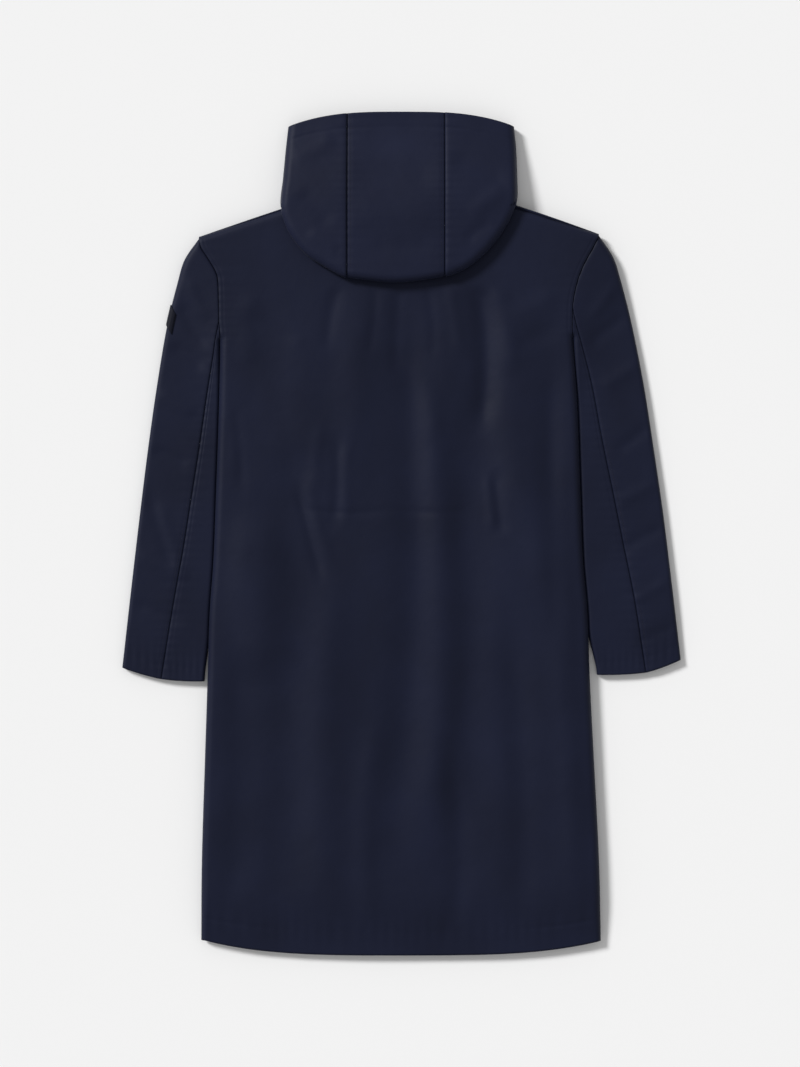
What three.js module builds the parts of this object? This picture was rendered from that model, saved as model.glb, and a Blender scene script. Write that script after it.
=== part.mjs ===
// A hooded parka laid out flat, front down and back up, with its hood folded down on the back.
// Millimetres. The surface it lies on is z = 0, +Y points to the hood and +X to the right of the back.
// Every piece is a cloth wall between an outer and an inner face, and neighbours keep a seam gap.
import * as THREE from 'three';

// Driving dimensions
const WALL = 1.6;                 // shell cloth with its padding, pressed flat
const SEAM_GAP = 0.3;             // between two pieces at a seam
const LAYER_GAP = 0.4;            // between two pieces that lie on each other
const BODY_HEIGHT = 18;           // back panel above the surface
const HEM_HEIGHT = 11;            // the same at the hem, where the layers come together
const SLEEVE_HEIGHT = 12;         // top of a sleeve above the surface
const CUFF_HEIGHT = 10;
const HEM_Y = -565;               // hem at the side seams
const HEM_BOW = 21;               // how far the hem curves down at the centre
const FRONT_HEM_RISE = 6;         // the fronts end a little above the back
const NECK_HALF = 105;            // neck point from the centre line
const NECK_Y = 470;
const NECK_DIP_BACK = 8;
const NECK_DIP_FRONT = 42;
const CORNER_CLEARANCE = 1.2;     // between a sleeve's top corner and the shoulder seam's end
const SLEEVE_CLEARANCE = 0.8;     // between a sleeve's inner fold and the body
const CUFF_BOW = 5;
const PLACKET = { half: 26, top: 420, bottom: -556, ease: 22 };
const HOOD = {
  top: 586, topBow: 20, corner: 156, crownHeight: 38, edgeHeight: 20, sideDrop: 4, rollWidth: 10,
  seamLeft: -76, seamRight: 60.5, restHeight: BODY_HEIGHT + LAYER_GAP, faceStrip: 28,
};
const PATCH = { alongFrom: 0.155, alongTo: 0.202, reach: 16, thickness: 1.5 };

// Half outlines, as distances from the centre line. Each row is one height on the coat.
const LEFT = {
  sign: -1, shoulderY: 412, seamY: 295, cuffOuterY: -186, cuffSeamY: -197, cuffInnerY: -205, cuffNotch: 5,
  edge: [
    { y: 412, x: 281 }, { y: 399, x: 278.5 }, { y: 388, x: 271.7 }, { y: 370, x: 260.6 }, { y: 357, x: 255.3 },
    { y: 325, x: 253.7 }, { y: 295, x: 253.2 }, { y: 270, x: 251.2 }, { y: 180, x: 252.5 }, { y: 60, x: 256.5 },
    { y: -36, x: 260.2 }, { y: -110, x: 265.5 }, { y: -200, x: 268.3 }, { y: -314, x: 272 },
    { y: -450, x: 276.2 }, { y: HEM_Y, x: 277.3 },
  ],
  sleeve: [
    { along: 0, outer: 281, seam: 253.5 }, { along: 0.05, outer: 301.5, seam: 258.5 },
    { along: 0.1, outer: 311, seam: 262 }, { along: 0.2, outer: 326, seam: 270 },
    { along: 0.35, outer: 341.2, seam: 280.6 }, { along: 0.5, outer: 353.8, seam: 292.3 },
    { along: 0.65, outer: 364.9, seam: 304.1 }, { along: 0.8, outer: 375.4, seam: 317.6 },
    { along: 1, outer: 389, seam: 334.3 },
  ],
  hoodSide: [
    { y: 566, x: 156 }, { y: 534, x: 159.5 }, { y: 492, x: 163.3 }, { y: 464, x: 166.5 }, { y: 443, x: 164.7 },
  ],
  hoodLow: [
    { x: 164.7, y: 443 }, { x: 156.4, y: 421 }, { x: 134, y: 390.6 }, { x: 106, y: 371 }, { x: 78, y: 356.5 },
    { x: 50, y: 351.5 }, { x: 10, y: 348 }, { x: -32, y: 351.5 }, { x: -62, y: 357.4 },
  ],
};
const RIGHT = {
  sign: 1, shoulderY: 416, seamY: 314, cuffOuterY: -175, cuffSeamY: -188, cuffInnerY: -196, cuffNotch: 11,
  edge: [
    { y: 416, x: 274 }, { y: 404, x: 268.5 }, { y: 392, x: 262 }, { y: 374, x: 252.3 }, { y: 352, x: 243.9 },
    { y: 325, x: 238 }, { y: 297, x: 236.8 }, { y: 273, x: 237.2 }, { y: 180, x: 243 }, { y: 60, x: 247.4 },
    { y: -36, x: 251 }, { y: -110, x: 257.2 }, { y: -200, x: 260.4 }, { y: -314, x: 266.2 },
    { y: -450, x: 273.1 }, { y: HEM_Y, x: 275.9 },
  ],
  sleeve: [
    { along: 0, outer: 274, seam: 239.8 }, { along: 0.05, outer: 294, seam: 245.6 },
    { along: 0.1, outer: 304, seam: 252.3 }, { along: 0.2, outer: 319.3, seam: 264.1 },
    { along: 0.35, outer: 337.1, seam: 277.7 }, { along: 0.5, outer: 351, seam: 293.2 },
    { along: 0.65, outer: 364, seam: 308.6 }, { along: 0.8, outer: 375, seam: 323.9 },
    { along: 1, outer: 389, seam: 340.4 },
  ],
  hoodSide: [
    { y: 566, x: 155 }, { y: 534, x: 158 }, { y: 492, x: 159.4 }, { y: 471, x: 159.8 }, { y: 457, x: 157.8 },
  ],
  hoodLow: [
    { x: 157.8, y: 457 }, { x: 146.6, y: 432 }, { x: 130, y: 407 }, { x: 113, y: 388 }, { x: 88, y: 368.4 },
    { x: 60.5, y: 357.2 }, { x: 32, y: 351.7 }, { x: -10, y: 348 }, { x: -50, y: 351.5 }, { x: -80, y: 357.2 },
  ],
};

// The back's largest folds: soft ridges (height above 0) and troughs (below 0) along a straight line.
const BACK_FOLDS = [
  { x0: 8, y0: 330, x1: -14, y1: -380, width: 30, height: -2.5 },    // trough down the centre back
  { x0: 106, y0: 345, x1: 110, y1: 190, width: 17, height: -4 },     // trough under the hood's right side
  { x0: 112, y0: 250, x1: 104, y1: -430, width: 42, height: -3 },    // its wide continuation to the hem
  { x0: 38, y0: 150, x1: 40, y1: -360, width: 27, height: 3 },       // ridge right of the centre
  { x0: 196, y0: 0, x1: 246, y1: -470, width: 32, height: 3 },       // ridge towards the right hem
  { x0: -200, y0: 10, x1: -196, y1: -180, width: 48, height: 2.5 },  // broad swell at the left hip
];

const clamp = (value, low, high) => Math.min(high, Math.max(low, value));
const mix = (from, to, part) => from + (to - from) * part;
const ease = (from, to, value) => {
  const part = clamp((value - from) / (to - from), 0, 1);
  return part * part * (3 - 2 * part);
};

// A smooth curve through a table's rows: a cubic between rows, with slopes from their neighbours.
function tableCurve(rows, input, output) {
  const slope = (index) => {
    const before = rows[Math.max(index - 1, 0)];
    const after = rows[Math.min(index + 1, rows.length - 1)];
    return (after[output] - before[output]) / (after[input] - before[input]);
  };
  const rising = rows[rows.length - 1][input] > rows[0][input];
  return (value) => {
    let index = 0;
    const past = (row) => (rising ? value > row[input] : value < row[input]);
    while (index < rows.length - 2 && past(rows[index + 1])) index += 1;
    const [low, high] = [rows[index], rows[index + 1]];
    const span = high[input] - low[input];
    const t = (value - low[input]) / span;
    if (t < 0) return low[output] + slope(index) * (value - low[input]);
    if (t > 1) return high[output] + slope(index + 1) * (value - high[input]);
    return (2 * t ** 3 - 3 * t ** 2 + 1) * low[output] + (t ** 3 - 2 * t ** 2 + t) * span * slope(index)
      + (3 * t ** 2 - 2 * t ** 3) * high[output] + (t ** 3 - t ** 2) * span * slope(index + 1);
  };
}

for (const side of [LEFT, RIGHT]) {
  side.edgeAt = tableCurve(side.edge, 'y', 'x');
  side.outerAt = tableCurve(side.sleeve, 'along', 'outer');
  side.seamAt = tableCurve(side.sleeve, 'along', 'seam');
  side.hoodSideAt = tableCurve(side.hoodSide, 'y', 'x');
  side.hoodLowAt = tableCurve(side.hoodLow, 'x', 'y');
  side.shoulderX = side.edge[0].x;
}

// Steps across a rolled edge, as parts of the roll's width, one every 22.5 degrees.
const ROLL_STEPS = [0, 1, 2, 3, 4].map((step) => 1 - Math.cos((step * Math.PI) / 8));
// Rows down the body, as parts of the way from the shoulder roll to the hem. The sleeve starts at ARMPIT_ROW.
const ARMHOLE_ROWS = [0.0279, 0.0558, 0.0837, 0.1116, 0.1374];
const BODY_ROWS = [
  ...ARMHOLE_ROWS, 0.175, 0.23, 0.295, 0.36, 0.43, 0.5, 0.57, 0.64, 0.71, 0.78, 0.85, 0.91, 0.96, 1,
];
const ARMPIT_ROW = ARMHOLE_ROWS[ARMHOLE_ROWS.length - 1];

const hemY = (x) => HEM_Y - HEM_BOW * (1 - Math.min(1, Math.abs(x) / 277) ** 3.4);
const bodyHeight = (y) => mix(HEM_HEIGHT, BODY_HEIGHT, ease(HEM_Y - HEM_BOW, HEM_Y + 70, y));
const shoulderRoll = BODY_HEIGHT / 2;
const shoulderLine = (side, distance) => mix(NECK_Y, side.shoulderY,
  clamp((distance - NECK_HALF) / (side.shoulderX - NECK_HALF), 0, 1));
const rollEndY = (side) => side.shoulderY - shoulderRoll;
for (const side of [LEFT, RIGHT]) side.armpitY = mix(rollEndY(side), HEM_Y, ARMPIT_ROW);

// Sleeve lines at a part `along` of the way from the armhole to the cuff.
const outerLine = (side, along) => [side.sign * side.outerAt(along), mix(side.shoulderY, side.cuffOuterY, along)];
const seamLine = (side, along) => [side.sign * side.seamAt(along), mix(side.seamY, side.cuffSeamY, along)];
const innerLine = (side, along) => {
  const y = mix(side.armpitY, side.cuffInnerY, along);
  return [side.sign * (side.edgeAt(y) + SLEEVE_CLEARANCE + side.cuffNotch * ease(0.86, 1, along)), y];
};
const sleeveHeight = (along) => mix(SLEEVE_HEIGHT, BODY_HEIGHT, 1 - ease(0, 0.22, along))
  - (SLEEVE_HEIGHT - CUFF_HEIGHT) * ease(0.85, 1, along);

// Rolled edges, as runs of short segments with the side that faces out.
const polyline = (count, pointAt) => Array.from({ length: count + 1 }, (_, index) => pointAt(index / count));
function foldRun(points, outward) {
  return points.slice(1).map((end, index) => {
    const start = points[index];
    const length = Math.hypot(end[0] - start[0], end[1] - start[1]);
    const along = [(end[0] - start[0]) / length, (end[1] - start[1]) / length];
    return { start, along, length, out: [along[1] * outward, -along[0] * outward] };
  });
}
function foldsOfSide(side) {
  const shoulder = polyline(8, (t) => {
    const distance = mix(NECK_HALF, side.shoulderX, t);
    return [side.sign * distance, shoulderLine(side, distance)];
  });
  const sideSeam = polyline(60, (t) => {
    const y = mix(side.armpitY, HEM_Y - HEM_BOW, t);
    return [side.sign * side.edgeAt(y), y];
  });
  return [
    ...foldRun(shoulder, -side.sign), ...foldRun(sideSeam, -side.sign),
    ...foldRun(polyline(60, (t) => outerLine(side, t)), -side.sign),
    ...foldRun(polyline(60, (t) => innerLine(side, t)), side.sign),
  ];
}
function hoodFolds() {
  const down = (side) => polyline(16, (t) => {
    const y = mix(side.hoodSide[0].y, side.hoodLow[0].y, t);
    return [side.sign * side.hoodSideAt(y), y];
  });
  const low = (side) => polyline(24, (t) => {
    const x = mix(side.hoodLow[0].x, 0, t);
    return [side.sign * x, side.hoodLowAt(x)];
  });
  return [LEFT, RIGHT].flatMap((side) => [...foldRun(down(side), -side.sign), ...foldRun(low(side), -side.sign)]);
}
const COAT_FOLDS = [LEFT, RIGHT].flatMap(foldsOfSide);
const HOOD_FOLDS = hoodFolds();

// Distance from a point to the nearest rolled edge, and the direction out over it.
function nearestFold(folds, x, y, onFold) {
  let best = { distance: Infinity };
  for (const fold of folds) {
    const [dx, dy] = [x - fold.start[0], y - fold.start[1]];
    const run = clamp(dx * fold.along[0] + dy * fold.along[1], 0, fold.length);
    const [ox, oy] = [dx - fold.along[0] * run, dy - fold.along[1] * run];
    const distance = Math.hypot(ox, oy);
    if (distance < best.distance) best = { distance, fold, ox, oy };
  }
  const out = onFold || best.distance < 0.3 ? best.fold.out : [-best.ox / best.distance, -best.oy / best.distance];
  return { distance: onFold ? 0 : best.distance, out };
}

// A point of a layered form whose two layers meet in a roll: its outer face, and its inner face one wall in.
function rolledPoint(x, y, { folds, onFold, above, low, high, width, lift = 0, seam = 0 }) {
  const { distance, out } = nearestFold(folds, x, y, onFold);
  const part = Math.min(1, distance / width);
  const swing = Math.sqrt(1 - (1 - part) ** 2);
  const [middle, half] = [(low + high) / 2, (high - low) / 2];
  const sign = above ? 1 : -1;
  const [flat, steep] = [(1 - part) * half, swing * width];
  const size = Math.hypot(flat, steep);
  const normal = [(out[0] * flat) / size, (out[1] * flat) / size, (sign * steep) / size];
  const outer = [x, y, middle + sign * Math.max(half * swing, seam) + lift * part];
  return { outer, inner: outer.map((value, axis) => value - WALL * normal[axis]), normal };
}

function foldLift(x, y) {
  let lift = 0;
  for (const fold of BACK_FOLDS) {
    const [dx, dy] = [fold.x1 - fold.x0, fold.y1 - fold.y0];
    const length = Math.hypot(dx, dy);
    const along = ((x - fold.x0) * dx + (y - fold.y0) * dy) / length ** 2;
    const across = ((x - fold.x0) * dy - (y - fold.y0) * dx) / length;
    const taper = ease(-0.12, 0.2, along) * (1 - ease(0.8, 1.12, along));
    lift += fold.height * taper * Math.exp(-((across / fold.width) ** 2));
  }
  const side = x < 0 ? LEFT : RIGHT;
  return lift * ease(0, 45, side.edgeAt(y) - Math.abs(x)) * (1 - ease(330, 352, y));
}

function signedVolume(positions, index) {
  let volume = 0;
  for (let face = 0; face < index.length; face += 3) {
    const [a, b, c] = [0, 1, 2].map((corner) => new THREE.Vector3(...positions[index[face + corner]]));
    volume += a.dot(b.cross(c)) / 6;
  }
  return volume;
}

// Cloth piece by piece: patches of points joined by their outer face, then closed with a rim.
class Sheet {
  constructor() {
    this.points = [];
    this.found = new Map();
    this.faces = [];
  }

  vertex(point) {
    const key = point.outer.map((value) => value.toFixed(3)).join();
    if (!this.found.has(key)) this.found.set(key, this.points.push(point) - 1);
    return this.found.get(key);
  }

  patch(columns, rows, pointAt, flip = false) {
    const grid = Array.from({ length: rows }, (_, row) => (
      Array.from({ length: columns }, (_unused, column) => this.vertex(pointAt(column, row)))));
    for (let row = 0; row < rows - 1; row += 1) {
      for (let column = 0; column < columns - 1; column += 1) {
        const [a, b] = [grid[row][column], grid[row][column + 1]];
        const [c, d] = [grid[row + 1][column + 1], grid[row + 1][column]];
        for (const face of [[a, b, c], [a, c, d]]) {
          if (new Set(face).size === 3) this.faces.push(flip ? [face[0], face[2], face[1]] : face);
        }
      }
    }
  }

  mesh(name, material) {
    const count = this.points.length;
    const edges = new Set(this.faces.flatMap(([a, b, c]) => [`${a},${b}`, `${b},${c}`, `${c},${a}`]));
    const index = [];
    for (const [a, b, c] of this.faces) {
      index.push(a, b, c, a + count, c + count, b + count);
      for (const [from, to] of [[a, b], [b, c], [c, a]]) {
        if (!edges.has(`${to},${from}`)) index.push(to, from, from + count, to, from + count, to + count);
      }
    }
    const positions = [...this.points.map((point) => point.outer), ...this.points.map((point) => point.inner)];
    if (signedVolume(positions, index) < 0) index.reverse();
    const geometry = new THREE.BufferGeometry();
    geometry.setAttribute('position', new THREE.Float32BufferAttribute(positions.flat(), 3));
    geometry.setIndex(index);
    const mesh = new THREE.Mesh(geometry, material);
    mesh.name = name;
    return mesh;
  }
}

const shell = new THREE.MeshStandardMaterial({ color: 0x20222f, roughness: 0.72, metalness: 0 });
const hoodShell = new THREE.MeshStandardMaterial({ color: 0x232634, roughness: 0.72, metalness: 0 });
const trim = new THREE.MeshStandardMaterial({ color: 0x1b1d29, roughness: 0.6, metalness: 0 });

// Body: a column is a distance in from the side edge (the roll) or a part of the way to the centre line.
const HALF_PARTS = [0.88, 0.76, 0.64, 0.52, 0.4, 0.27, 0.14];
const halfColumns = (parts) => [
  ...ROLL_STEPS.map((step) => ({ roll: step * shoulderRoll, part: 1 })),
  ...parts.map((part) => ({ roll: shoulderRoll, part })),
];
const bodyRows = [
  ...ROLL_STEPS.map((step) => ({ roll: step, part: 0 })), ...BODY_ROWS.map((part) => ({ roll: 1, part })),
];

function bodyPlan(side, column, row, neckDip, hemRise) {
  const topDistance = column.part * (side.shoulderX - column.roll);
  const neck = neckDip * (1 - (Math.min(topDistance, NECK_HALF) / NECK_HALF) ** 2);
  const start = shoulderLine(side, topDistance) - neck - row.roll * shoulderRoll;
  const y = mix(start, hemY(topDistance) + hemRise, row.part);
  const armhole = y > side.armpitY + 0.01 ? SEAM_GAP / 2 : 0;
  return { x: side.sign * column.part * (side.edgeAt(y) - armhole - column.roll), y, topDistance };
}
function bodyPoint(side, column, row, above, neckDip, hemRise, centreX) {
  const plan = bodyPlan(side, column, row, neckDip, hemRise);
  const x = column.part === 0 ? centreX : plan.x;
  const onShoulder = row.roll === 0 && row.part === 0 && plan.topDistance >= NECK_HALF;
  const onSide = column.part === 1 && column.roll === 0 && plan.y <= side.armpitY + 0.01;
  const onFold = onShoulder || onSide;
  const high = bodyHeight(plan.y);
  const channel = (WALL + SEAM_GAP) * (1 - ease(PLACKET.half + 4, PLACKET.half + PLACKET.ease, Math.abs(x)));
  return rolledPoint(x, plan.y, {
    folds: COAT_FOLDS, onFold, above, low: 0, high, width: high / 2, seam: SEAM_GAP / 2,
    lift: above ? foldLift(x, plan.y) : channel,
  });
}
function makeBack() {
  const columns = [...halfColumns(HALF_PARTS), { roll: 0, part: 0 }];
  const sheet = new Sheet();
  for (const side of [LEFT, RIGHT]) {
    sheet.patch(columns.length, bodyRows.length, (column, row) => (
      bodyPoint(side, columns[column], bodyRows[row], true, NECK_DIP_BACK, 0, 0)), side === LEFT);
  }
  return sheet.mesh('back', shell);
}
function makeFront(name, side) {
  const widths = [0.75, 0.5, 0.3, 0.185, 0.11];
  const columns = [...halfColumns(widths), { roll: 0, part: 0 }];
  const sheet = new Sheet();
  sheet.patch(columns.length, bodyRows.length, (column, row) => bodyPoint(side, columns[column], bodyRows[row], false,
    NECK_DIP_FRONT, FRONT_HEM_RISE, side.sign * (SEAM_GAP / 2)), side === RIGHT);
  return sheet.mesh(name, shell);
}
function makePlacket() {
  const rows = 12;
  const sheet = new Sheet();
  sheet.patch(3, rows, (column, row) => {
    const [x, y] = [mix(-PLACKET.half, PLACKET.half, column / 2), mix(PLACKET.top, PLACKET.bottom, row / (rows - 1))];
    return { outer: [x, y, 0], inner: [x, y, WALL] };
  });
  return sheet.mesh('front_placket', trim);
}

// Sleeves: rows run from the armhole to the cuff, and each ring is cut at its back and front seams.
const SLEEVE_ROWS = [0, 0.025, 0.06, 0.1, 0.15, 0.22, 0.32, 0.44, 0.57, 0.7, 0.83, 0.93, 1];

function sleevePlan(side, piece, along, armholePart, cuffPart) {
  const upper = piece === 'upper';
  const [from, to] = upper ? [outerLine, seamLine] : [innerLine, seamLine];
  const part = mix(armholePart, cuffPart, ease(0, 0.16, along));
  const [fromX, fromY] = from(side, along);
  const [toX, toY] = to(side, along);
  let [x, y] = [mix(fromX, toX, part), mix(fromY, toY, part)];
  const corner = mix(CORNER_CLEARANCE, SEAM_GAP / 2, ease(0, 0.08, part));
  const armholeX = side.sign * (side.edgeAt(y) + (upper ? corner : mix(SLEEVE_CLEARANCE, SEAM_GAP / 2, part)));
  const straightX = mix(from(side, 0)[0], to(side, 0)[0], part);
  if (along < 0.3) {
    const armholeY = mix(from(side, 0)[1], to(side, 0)[1], part);
    const offset = side.sign * side.edgeAt(armholeY) - straightX;
    x += along === 0 ? armholeX - straightX : offset * (1 - ease(0, 0.3, along));
  }
  const across = upper ? part * 0.5 : 1 - part * 0.5;
  y -= CUFF_BOW * 4 * across * (1 - across) * along ** 6;
  const seamShift = part === 1 ? (SEAM_GAP / 2) * side.sign * (upper ? 1 : -1) : 0;
  return [x + seamShift, y];
}
function sleeveColumns(side, piece) {
  const upper = piece === 'upper';
  const [startY, endY] = upper ? [side.shoulderY, side.seamY] : [side.armpitY, side.seamY];
  const stops = upper
    ? [...ROLL_STEPS.map((step) => startY - step * shoulderRoll),
      ...ARMHOLE_ROWS.map((row) => mix(rollEndY(side), HEM_Y, row)).filter((y) => y > endY + 6), endY]
    : [0, 0.09, 0.26, 0.5, 0.72, 1].map((part) => mix(startY, endY, part));
  const plateau = stops.length - ROLL_STEPS.length;
  return stops.map((y, index) => ({
    armholePart: (y - startY) / (endY - startY),
    cuffPart: (along) => {
      const width = Math.hypot(...outerMinusSeam(side, piece, along));
      const roll = (sleeveHeight(along) / 2) / width;
      return index < ROLL_STEPS.length ? ROLL_STEPS[index] * roll
        : mix(roll, 1, (index - ROLL_STEPS.length + 1) / plateau);
    },
  }));
}
function outerMinusSeam(side, piece, along) {
  const edge = (piece === 'upper' ? outerLine : innerLine)(side, along);
  const seam = seamLine(side, along);
  return [edge[0] - seam[0], edge[1] - seam[1]];
}
function sleevePoint(side, piece, column, along, above) {
  const [x, y] = sleevePlan(side, piece, along, column.armholePart, column.cuffPart(along));
  const high = sleeveHeight(along);
  return rolledPoint(x, y, {
    folds: COAT_FOLDS, onFold: column.armholePart === 0, above, low: 0, high, width: high / 2,
  });
}
function makeSleevePiece(name, side, piece) {
  const columns = sleeveColumns(side, piece);
  const sheet = new Sheet();
  const flip = (side === LEFT) === (piece === 'upper');
  for (const above of [true, false]) {
    sheet.patch(columns.length, SLEEVE_ROWS.length, (column, row) => (
      sleevePoint(side, piece, columns[column], SLEEVE_ROWS[row], above)), above === flip);
  }
  return sheet.mesh(name, shell);
}

// A blank patch on the left sleeve, from the sleeve's own points moved out over its outer fold.
function makeSleevePatch() {
  const steps = [1, 0.5, 0.2625, 0.1125, 0.028125, 0];
  const rows = 4;
  const sheet = new Sheet();
  sheet.patch(steps.length, rows, (column, row) => {
    const along = mix(PATCH.alongFrom, PATCH.alongTo, row / (rows - 1));
    const width = Math.hypot(...outerMinusSeam(LEFT, 'upper', along));
    const part = (steps[column] * PATCH.reach) / width;
    const [x, y] = sleevePlan(LEFT, 'upper', along, part, part);
    const high = sleeveHeight(along);
    const { outer, normal } = rolledPoint(x, y, {
      folds: COAT_FOLDS, onFold: column === steps.length - 1, above: true, low: 0, high, width: high / 2,
    });
    const moved = (by) => outer.map((value, axis) => value + by * normal[axis]);
    return { outer: moved(SEAM_GAP + PATCH.thickness), inner: moved(SEAM_GAP) };
  });
  return sheet.mesh('sleeve_patch', trim);
}

// Hood: its top layer lies over a lower layer that rests on the back, and beyond the shoulders on the surface.
const hoodTopY = (x) => HOOD.top - HOOD.topBow * Math.min(1, Math.abs(x) / HOOD.corner) ** 3;
const pastShoulder = (x, y) => y - shoulderLine(x < 0 ? LEFT : RIGHT, Math.abs(x));
const hoodLow = (x, y) => HOOD.restHeight * (1 - ease(0.5, 16, pastShoulder(x, y)));
const hoodHigh = (x, y) => mix(HOOD.edgeHeight, HOOD.crownHeight, 1 - ease(450, HOOD.top, y))
  - HOOD.sideDrop * (x / HOOD.corner) ** 2;
const hoodPoint = (x, y, above, onFold) => rolledPoint(x, y, {
  folds: HOOD_FOLDS, onFold, above, low: hoodLow(x, y), high: hoodHigh(x, y), width: HOOD.rollWidth,
});
const neckRowY = (side, x) => (Math.abs(x) < NECK_HALF
  ? NECK_Y - NECK_DIP_BACK * (1 - (x / NECK_HALF) ** 2) : shoulderLine(side, Math.abs(x))) + 0.5;
const UPPER_PARTS = [1, 0.72, 0.45, 0.2, 0];
const SHOULDER_RISES = [16.5, 10.5, 5.5, 0];
const UPPER_ROWS = UPPER_PARTS.length + SHOULDER_RISES.length - 2;
const LOWER_PARTS = [0.3, 0.62, 1];

// Rows down a column of the hood: face edge, neck row, then the roll at the fold that hangs lowest.
const hoodUpperRows = (topY, neckY) => [
  ...UPPER_PARTS.map((part) => mix(neckY + SHOULDER_RISES[0], topY, part)),
  ...SHOULDER_RISES.slice(1).map((rise) => neckY + rise),
];
function hoodColumnRows(topY, neckY, lowY) {
  const rollStart = lowY + HOOD.rollWidth;
  return [
    ...hoodUpperRows(topY, neckY), ...LOWER_PARTS.map((part) => mix(neckY, rollStart, part)),
    ...ROLL_STEPS.slice(0, -1).reverse().map((step) => lowY + step * HOOD.rollWidth),
  ];
}
function makeHoodCentre() {
  const columns = 6;
  const [left, right] = [HOOD.seamLeft + SEAM_GAP / 2, HOOD.seamRight - SEAM_GAP / 2];
  const sheet = new Sheet();
  const rowCount = UPPER_ROWS + LOWER_PARTS.length + ROLL_STEPS.length;
  const point = (column, row, above) => {
    const x = mix(left, right, column / columns);
    const side = x < 0 ? LEFT : RIGHT;
    const y = hoodColumnRows(hoodTopY(x), neckRowY(side, x), side.hoodLowAt(Math.abs(x)))[row];
    return hoodPoint(x, y, above, row === rowCount - 1);
  };
  sheet.patch(columns + 1, rowCount, (column, row) => point(column, row, true));
  sheet.patch(columns + 1, rowCount - UPPER_ROWS, (column, row) => point(column, row + UPPER_ROWS, false), true);
  return sheet.mesh('hood_centre', hoodShell);
}
function makeHoodSide(name, side, seamX) {
  const plateau = [0, 0.2, 0.4, 0.6, 0.8, 1];
  const stripColumns = ROLL_STEPS.length + 3;
  const across = [
    ...ROLL_STEPS.map((step) => ({ step, part: 0 })), ...plateau.slice(1).map((part) => ({ step: 1, part })),
  ];
  const seam = Math.abs(seamX) + SEAM_GAP / 2;
  const [cornerY, lowCorner] = [side.hoodSide[0].y, side.hoodLow[0]];
  // The grid's four edges: face edge, side outline, lower outline and centre seam.
  const distanceAt = (column, outline) => (
    mix(outline - column.step * HOOD.rollWidth, seam, column.part));
  const columnRows = (column) => {
    const topX = distanceAt(column, side.hoodSide[0].x);
    const lowX = distanceAt(column, lowCorner.x);
    const neckX = distanceAt(column, side.hoodSideAt(shoulderLine(side, lowCorner.x)));
    const neckY = neckRowY(side, neckX);
    const lowY = column.step === 0 ? lowCorner.y : side.hoodLowAt(lowX);
    const topY = column.step === 0 ? cornerY : hoodTopY(topX);
    return { rows: hoodColumnRows(topY, neckY, lowY), topX, neckX, lowX, topY, neckY, lowY };
  };
  const plan = (column, row) => {
    const { rows, topX, neckX, lowX, topY, neckY, lowY } = columnRows(column);
    const y = rows[row];
    if (column.step === 0) return [side.sign * side.hoodSideAt(y), y];
    const x = y > neckY ? mix(neckX, topX, (y - neckY) / (topY - neckY)) : mix(lowX, neckX, (y - lowY) / (neckY - lowY));
    return [side.sign * x, y];
  };
  const rowCount = UPPER_ROWS + LOWER_PARTS.length + ROLL_STEPS.length;
  const onFold = (column, row) => across[column].step === 0 || row === rowCount - 1;
  const sheet = new Sheet();
  const flip = side === LEFT;
  sheet.patch(across.length, rowCount, (column, row) => (
    hoodPoint(...plan(across[column], row), true, onFold(column, row))), flip);
  sheet.patch(across.length, rowCount - UPPER_ROWS, (column, row) => (
    hoodPoint(...plan(across[column], row + UPPER_ROWS), false, onFold(column, row + UPPER_ROWS))), !flip);
  // Beyond the shoulder the lower layer is a strip beside the face opening, down on the surface.
  sheet.patch(stripColumns, UPPER_ROWS + 1, (column, row) => {
    const { step, part } = across[column];
    const start = plan(across[column], UPPER_ROWS);
    if (step === 0) return hoodPoint(...plan(across[0], row), false, true);
    const inset = step * HOOD.rollWidth + (HOOD.faceStrip - HOOD.rollWidth) * (part / across[stripColumns - 1].part);
    const topX = side.hoodSide[0].x - inset;
    const y = hoodUpperRows(hoodTopY(topX), start[1])[row];
    const x = mix(Math.abs(start[0]), topX, (y - start[1]) / (hoodTopY(topX) - start[1]));
    return hoodPoint(side.sign * x, y, false, false);
  }, !flip);
  return sheet.mesh(name, hoodShell);
}

const parka = new THREE.Group();
parka.add(
  makeBack(),
  makeFront('front_left', LEFT),
  makeFront('front_right', RIGHT),
  makePlacket(),
  makeSleevePiece('sleeve_left_upper', LEFT, 'upper'),
  makeSleevePiece('sleeve_left_under', LEFT, 'under'),
  makeSleevePiece('sleeve_right_upper', RIGHT, 'upper'),
  makeSleevePiece('sleeve_right_under', RIGHT, 'under'),
  makeSleevePatch(),
  makeHoodCentre(),
  makeHoodSide('hood_side_left', LEFT, HOOD.seamLeft),
  makeHoodSide('hood_side_right', RIGHT, HOOD.seamRight),
);

export default parka;
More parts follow.
